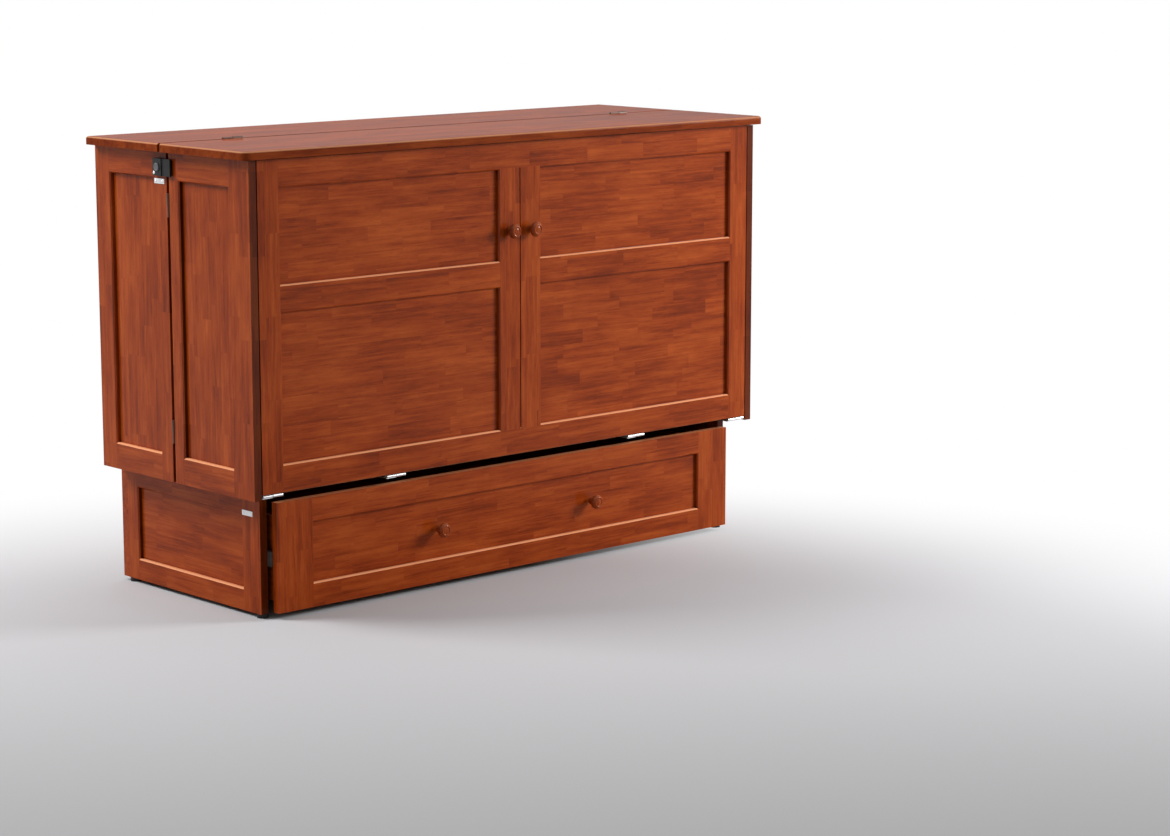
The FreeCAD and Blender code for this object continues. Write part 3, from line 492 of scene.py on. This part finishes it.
def round_corner(x, z, half_x, half_z, radius):
    """Moves a point of a rectangle so that its corners become round. Returns the point and the way out."""
    dx, dz = abs(x) - (half_x - radius), abs(z) - (half_z - radius)
    if dx > 0.0 and dz > 0.0:
        grow = max(dx, dz) / math.hypot(dx, dz)
        dx, dz = dx * grow, dz * grow
        x = math.copysign(half_x - radius + dx, x)
        z = math.copysign(half_z - radius + dz, z)
        length = math.hypot(dx, dz)
        return x, z, math.copysign(dx / length, x), math.copysign(dz / length, z)
    if dx > dz:
        return x, z, math.copysign(1.0, x), 0.0
    return x, z, 0.0, math.copysign(1.0, z)


def quilted_section(label, node, body, finish, cord_finish):
    """A mattress section: two quilted crowned faces, a boxing strip that swells, and piping on both seams."""
    s = bpy.context.scene.cabinet_bed
    low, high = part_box(node)
    middle, half = (low + high) / 2.0, (high - low) / 2.0
    columns, rows = s.quilt_columns * PAD_STEPS, s.quilt_rows * PAD_STEPS
    half_x, half_z = half.x - SECTION_ROOM, half.z - SECTION_ROOM
    seam = half.y - s.quilt_depth - SEAM_ROOM

    def lie(i, k):
        """A point of the face, its way out, and how far the quilting lifts it, from 0 to 1."""
        u, v = 2.0 * i / columns - 1.0, 2.0 * k / rows - 1.0
        x, z, out_x, out_z = round_corner(u * half_x, v * half_z, half_x, half_z, SECTION_CORNER)
        x -= out_x * SIDE_WAIST * max(0.0, 1.0 - v * v)
        z -= out_z * END_WAIST * max(0.0, 1.0 - u * u)
        crown = (1.0 - abs(u) ** 10) * (1.0 - abs(v) ** 6)
        over, along = abs(math.sin(math.pi * i / PAD_STEPS)), abs(math.sin(math.pi * k / PAD_STEPS))
        pad = (over * along) ** PAD_FULLNESS
        return x, z, out_x, out_z, crown * (STITCHED_RISE + PAD_RISE * pad)

    mesh = bmesh.new()

    def face(sign):
        grid = {}
        for i in range(columns + 1):
            for k in range(rows + 1):
                x, z, _, _, rise = lie(i, k)
                grid[i, k] = mesh.verts.new(middle + Vector((x, sign * (seam + s.quilt_depth * rise), z)))
        for i in range(columns):
            for k in range(rows):
                mesh.faces.new((grid[i, k], grid[i + 1, k], grid[i + 1, k + 1], grid[i, k + 1]))
        return grid

    front, back = face(-1.0), face(1.0)
    edge = [(i, 0) for i in range(columns)] + [(columns, k) for k in range(rows)]
    edge += [(i, rows) for i in range(columns, 0, -1)] + [(0, k) for k in range(rows, 0, -1)]
    rings = [[front[place] for place in edge]]
    for step in range(1, BOXING_STEPS):
        t = 2.0 * step / BOXING_STEPS - 1.0
        swell = BOXING_SWELL * (1.0 - t * t)
        ring = []
        for i, k in edge:
            x, z, out_x, out_z, _ = lie(i, k)
            ring.append(mesh.verts.new(middle + Vector((x + out_x * swell, seam * t, z + out_z * swell))))
        rings.append(ring)
    rings.append([back[place] for place in edge])
    bridge(mesh, rings)
    section = new_piece(label, mesh, finish, body)
    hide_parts(node)

    curve = bpy.data.curves.new(label + "_piping", "CURVE")
    curve.dimensions = "3D"
    curve.bevel_depth = PIPING_RADIUS
    curve.bevel_resolution = 3
    for sign in (-1.0, 1.0):
        spline = curve.splines.new("POLY")
        spline.points.add(len(edge) - 1)
        for point, (i, k) in zip(spline.points, edge):
            x, z, out_x, out_z, _ = lie(i, k)
            spot = Vector((x + PIPING_STANDS_OUT * out_x, sign * seam, z + PIPING_STANDS_OUT * out_z))
            point.co = (*(middle + spot), 1.0)
        spline.use_cyclic_u = True
    curve.materials.append(cord_finish)
    piping = bpy.data.objects.new(label + "_piping", curve)
    bpy.context.scene.collection.objects.link(piping)
    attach(piping, body)


# -------------------------------------------------------------------- settings of a maker

class CabinetBedSettings(bpy.types.PropertyGroup):
    """Sizes and colours that a maker would change."""

    cherry_deep: FloatVectorProperty(
        name="Deep cherry", description="Darkest stain of the outside boards", subtype="COLOR", size=3,
        min=0.0, max=1.0, default=(0.140, 0.0165, 0.0024))
    cherry_middle: FloatVectorProperty(
        name="Middle cherry", description="Usual stain of the outside boards", subtype="COLOR", size=3,
        min=0.0, max=1.0, default=(0.305, 0.045, 0.0055))
    cherry_pale: FloatVectorProperty(
        name="Pale cherry", description="Lightest stain of the outside boards", subtype="COLOR", size=3,
        min=0.0, max=1.0, default=(0.46, 0.088, 0.013))
    plain_deep: FloatVectorProperty(
        name="Deep plain wood", description="Darkest tone of the inside boards", subtype="COLOR", size=3,
        min=0.0, max=1.0, default=(0.40, 0.24, 0.12))
    plain_middle: FloatVectorProperty(
        name="Middle plain wood", description="Usual tone of the inside boards", subtype="COLOR", size=3,
        min=0.0, max=1.0, default=(0.55, 0.36, 0.19))
    plain_pale: FloatVectorProperty(
        name="Pale plain wood", description="Lightest tone of the inside boards", subtype="COLOR", size=3,
        min=0.0, max=1.0, default=(0.68, 0.49, 0.29))
    stave_width: FloatProperty(
        name="Stave width", description="Width of the glued cherry staves", unit="LENGTH",
        min=0.01, max=0.3, default=0.034)
    stave_length: FloatProperty(
        name="Stave length", description="Length of the glued cherry staves", unit="LENGTH",
        min=0.05, max=2.0, default=0.19)
    stave_variety: FloatProperty(
        name="Stave variety", description="How much the tone of the cherry staves differs", subtype="FACTOR",
        min=0.0, max=1.0, default=0.11)
    enamel: FloatVectorProperty(
        name="Enamel", description="Paint of the legs, runners and deck hinges", subtype="COLOR", size=3,
        min=0.0, max=1.0, default=(0.055, 0.05, 0.046))
    bronze: FloatVectorProperty(
        name="Bronze enamel", description="Brown paint of the top and door hinges", subtype="COLOR", size=3,
        min=0.0, max=1.0, default=(0.085, 0.028, 0.012))
    plastic: FloatVectorProperty(
        name="Plastic", description="Black plastic of the feet and latches", subtype="COLOR", size=3,
        min=0.0, max=1.0, default=(0.009, 0.009, 0.010))
    cover: FloatVectorProperty(
        name="Mattress cover", description="Knitted cloth of the mattress", subtype="COLOR", size=3,
        min=0.0, max=1.0, default=(0.76, 0.745, 0.70))
    piping: FloatVectorProperty(
        name="Mattress piping", description="Piping on the mattress seams", subtype="COLOR", size=3,
        min=0.0, max=1.0, default=(0.50, 0.49, 0.47))
    quilt_columns: IntProperty(
        name="Quilt columns", description="Quilted pads along the width of the bed",
        min=4, max=20, default=12)
    quilt_rows: IntProperty(
        name="Quilt rows", description="Quilted pads along the length of one section",
        min=2, max=10, default=5)
    quilt_depth: FloatProperty(
        name="Quilt depth", description="How far a pad stands over the seam", unit="LENGTH",
        min=0.002, max=0.03, default=0.011)


class StudioSettings(bpy.types.PropertyGroup):
    """Floor, lamps and camera."""

    floor_near_shade: FloatVectorProperty(
        name="Near floor", description="Floor before the bed", subtype="COLOR", size=3,
        min=0.0, max=1.0, default=(0.44, 0.44, 0.446))
    floor_far_light: FloatVectorProperty(
        name="Far floor", description="Floor beside the bed", subtype="COLOR", size=3,
        min=0.0, max=1.0, default=(0.63, 0.63, 0.652))
    surroundings: FloatProperty(
        name="Surroundings", description="Level of the white room's own light",
        min=0.0, max=2.0, default=0.265)
    top_power: FloatProperty(
        name="Top lamp", description="Power of the wide lamp overhead", unit="POWER", min=0.0, default=30.0)
    right_power: FloatProperty(
        name="Right lamp", description="Power of the lamp in front on the right", unit="POWER",
        min=0.0, default=152.0)
    left_power: FloatProperty(
        name="Left lamp", description="Power of the lamp on the left", unit="POWER", min=0.0, default=250.0)
    lens: FloatProperty(
        name="Lens", description="Focal length of the camera", unit="CAMERA",
        min=20.0, max=300.0, default=90.17)


# -------------------------------------------------------------------- operators

class BoardsOperator(bpy.types.Operator):
    """Stain, lacquer or paint every board and fitting of the frame"""

    bl_idname = "cabinet_bed.boards"
    bl_label = "Finish boards and fittings"

    def execute(self, context):
        s = context.scene.cabinet_bed
        paint(CHERRY_ACROSS, cherry(X))
        paint(CHERRY_LID, cherry(X, "cherry_lid"))
        paint(CHERRY_DEEP, cherry(Y))
        paint(CHERRY_UPRIGHT, cherry(Z))
        paint(CHERRY_CORNER, cherry(Z, "cherry_corner"))
        plain = ((s.plain_deep, s.plain_middle, s.plain_pale), PLAIN_STAVES, PLAIN_SURFACE)
        paint(PLAIN_ACROSS, wood("plain_wood_x", X, *plain))
        paint(PLAIN_UPRIGHT, wood("plain_wood_z", Z, *plain))
        paint(BRIGHT_STEEL, steel("bright_steel", (0.74, 0.74, 0.75), dullness=0.24))
        paint(DARK_STEEL, painted_steel("dark_enamel", s.enamel))
        paint(BRONZED_STEEL, painted_steel("bronze_enamel", s.bronze))
        paint(BLACK_PLASTIC, moulded_plastic("black_plastic", s.plastic))
        missing = [name for name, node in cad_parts.items()
                   if not node.data.materials and not name.startswith("mattress")]
        if missing:
            raise RuntimeError(f"no finish on {missing}")
        return {"FINISHED"}


class KnobsOperator(bpy.types.Operator):
    """Turn the four knobs"""

    bl_idname = "cabinet_bed.knobs"
    bl_label = "Turn knobs"

    def execute(self, context):
        turned_knobs("front_knobs", "drop_front", "front_knob")
        turned_knobs("drawer_knobs", "drawer", "drawer_knob")
        return {"FINISHED"}


class MattressOperator(bpy.types.Operator):
    """Sew the three quilted mattress sections with their piping"""

    bl_idname = "cabinet_bed.mattress"
    bl_label = "Sew mattress"

    def execute(self, context):
        s = context.scene.cabinet_bed
        cover = knitted_cloth("knitted_cover", s.cover, COVER_LOOP)
        cord_cloth = knitted_cloth("piping_cloth", s.piping, PIPING_LOOP)
        for word in ("head", "middle", "foot"):
            quilted_section(f"quilted_{word}", f"mattress_{word}", f"{word}_section", cover, cord_cloth)
        return {"FINISHED"}


class LatchesOperator(bpy.types.Operator):
    """Fit the caps, buttons and screws of the side latches and plates"""

    bl_idname = "cabinet_bed.latches"
    bl_label = "Fit latches and screws"

    def execute(self, context):
        grey = moulded_plastic("grey_plastic", (0.11, 0.11, 0.115))
        bright = steel("screw_steel", (0.80, 0.80, 0.80), dullness=0.10)
        low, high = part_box("latch_cases")
        for word, sign in (("left", -1.0), ("right", 1.0)):
            out = (sign, 0.0, 0.0)
            cap = Vector((sign * high.x, (low.y + high.y) / 2.0, (low.z + high.z) / 2.0))
            button = cap + Vector(BUTTON_FROM_CAP)
            new_piece(f"latch_cap_{word}", turned(CAP_PROFILE, cap, out, *CAP_SIZE), grey,
                      "cabinet")
            new_piece(f"latch_button_{word}", turned(BUTTON_PROFILE, button, out, *BUTTON_SIZE), bright,
                      "cabinet")
            for node in ("latch_plates", "base_plates"):
                self.screws(node, word, sign, bright)
        return {"FINISHED"}

    def screws(self, node, word, sign, finish):
        """The two screws of the plate that a node has on one side."""
        low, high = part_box(node)
        for end, y in (("front", low.y + SCREW_FROM_END), ("rear", high.y - SCREW_FROM_END)):
            foot = Vector((sign * high.x, y, (low.z + high.z) / 2.0))
            mesh = turned(SCREW_PROFILE, foot, (sign, 0.0, 0.0), *SCREW_SIZE, cross=CROSS_CUT_DEPTH)
            new_piece(f"{node[:-1]}_screw_{word}_{end}", mesh, finish, "cabinet")


class StudioOperator(bpy.types.Operator):
    """Lay the floor, hang the lamps and set the camera"""

    bl_idname = "cabinet_bed.studio"
    bl_label = "Set up studio"

    def execute(self, context):
        s = context.scene.cabinet_studio
        scene = context.scene
        scene.view_settings.view_transform = "Standard"

        data = bpy.data.meshes.new("studio_floor")
        mesh = bmesh.new()
        bmesh.ops.create_grid(mesh, x_segments=2, y_segments=2, size=FLOOR_HALF)
        mesh.to_mesh(data)
        mesh.free()
        data.materials.append(self.paper(s))
        floor = bpy.data.objects.new("studio_floor", data)
        scene.collection.objects.link(floor)

        scene.world = self.room(s)
        for name, place, target, size, power in LAMPS:
            self.lamp(name, place, target, size, getattr(s, power))

        camera = bpy.data.objects.new("studio_camera", bpy.data.cameras.new("studio_camera"))
        camera.data.lens = s.lens
        camera.data.sensor_width = CAMERA_SENSOR_MM
        camera.data.clip_end = CAMERA_FAR
        camera.location = CAMERA_PLACE
        camera.rotation_euler = (math.pi / 2.0 - CAMERA_DIP, 0.0, -CAMERA_TURN)
        scene.collection.objects.link(camera)
        scene.camera = camera
        return {"FINISHED"}

    def room(self, s):
        """A world that is white to the camera and dimmer as light."""
        world = bpy.data.worlds.new("studio_room")
        world.use_nodes = True
        w = Wiring(world.node_tree)
        level = w.add("ShaderNodeMapRange", {0: w.seen(), 3: s.surroundings, 4: 1.0}).outputs[0]
        background = w.tree.nodes["Background"]
        w.plug(background.inputs["Color"], WHITE)
        w.plug(background.inputs["Strength"], level)
        return world

    def lamp(self, name, place, target, size, power):
        data = bpy.data.lights.new(name, "AREA")
        data.shape = "SQUARE"
        data.size = size
        data.energy = power
        made = bpy.data.objects.new(name, data)
        made.location = place
        made.rotation_euler = (Vector(target) - Vector(place)).to_track_quat("-Z", "Y").to_euler()
        made.visible_camera = False
        bpy.context.scene.collection.objects.link(made)

    def paper(self, s):
        """Pale paper that turns white away from the bed, and keeps the shadow beside it."""
        f = Finish("studio_paper")
        ahead = Vector((math.sin(CAMERA_TURN), math.cos(CAMERA_TURN), 0.0))
        depth = f.vector_maths("DOT_PRODUCT", f.place, tuple(ahead), "Value")
        far = f.vector_maths("DISTANCE", f.place, tuple(ahead * ROUND_MIDDLE), "Value")
        fibre = f.clouds(f.place, scale=160.0, detail=3.0)
        # Painted shade: the floor's colour darkens towards the camera and lightens away from it.
        tone = f.ramp(f.steps(depth, *FALLOFF_TURNS), (0.0, s.floor_near_shade), (1.0, s.floor_far_light))
        f.bump(fibre, 0.05, 0.0003)
        f.set(base_color=f.darken(tone, f.steps(fibre, 0.2, 0.8, 0.985, 1.0)), roughness=0.9,
              specular_ior_level=0.1)
        white = f.add("ShaderNodeEmission", {"Color": WHITE, "Strength": 1.0}).outputs[0]
        fade = f.maths("MAXIMUM", f.steps(far, *ROUND_REACH), f.steps(depth, *WHITE_BEFORE, 1.0, 0.0))
        paper = f.add("ShaderNodeMixShader", {
            0: f.maths("MULTIPLY", fade, f.seen()), 1: f.shader.outputs[0], 2: white}).outputs[0]
        f.plug(f.tree.nodes["Material Output"].inputs["Surface"], paper)
        return f.material


class CabinetBedPanel(bpy.types.Panel):
    """Steps that dress the cabinet bed"""

    bl_idname = "VIEW3D_PT_cabinet_bed"
    bl_label = "Cabinet bed"
    bl_space_type = "VIEW_3D"
    bl_region_type = "UI"
    bl_category = "Cabinet bed"

    def draw(self, context):
        for step in STEPS:
            self.layout.operator(step.bl_idname)
        for group in (context.scene.cabinet_bed, context.scene.cabinet_studio):
            column = self.layout.column()
            for name in group.bl_rna.properties.keys():
                if name not in ("rna_type", "name"):
                    column.prop(group, name)


STEPS = (BoardsOperator, KnobsOperator, MattressOperator, LatchesOperator, StudioOperator)
CLASSES = (CabinetBedSettings, StudioSettings, *STEPS, CabinetBedPanel)


def register():
    for made in CLASSES:
        bpy.utils.register_class(made)
    bpy.types.Scene.cabinet_bed = PointerProperty(type=CabinetBedSettings)
    bpy.types.Scene.cabinet_studio = PointerProperty(type=StudioSettings)


def unregister():
    del bpy.types.Scene.cabinet_studio
    del bpy.types.Scene.cabinet_bed
    for made in reversed(CLASSES):
        bpy.utils.unregister_class(made)


def main():
    register()
    bpy.ops.cabinet_bed.boards()
    bpy.ops.cabinet_bed.knobs()
    bpy.ops.cabinet_bed.mattress()
    bpy.ops.cabinet_bed.latches()
    bpy.ops.cabinet_bed.studio()


if __name__ == "__main__":
    main()
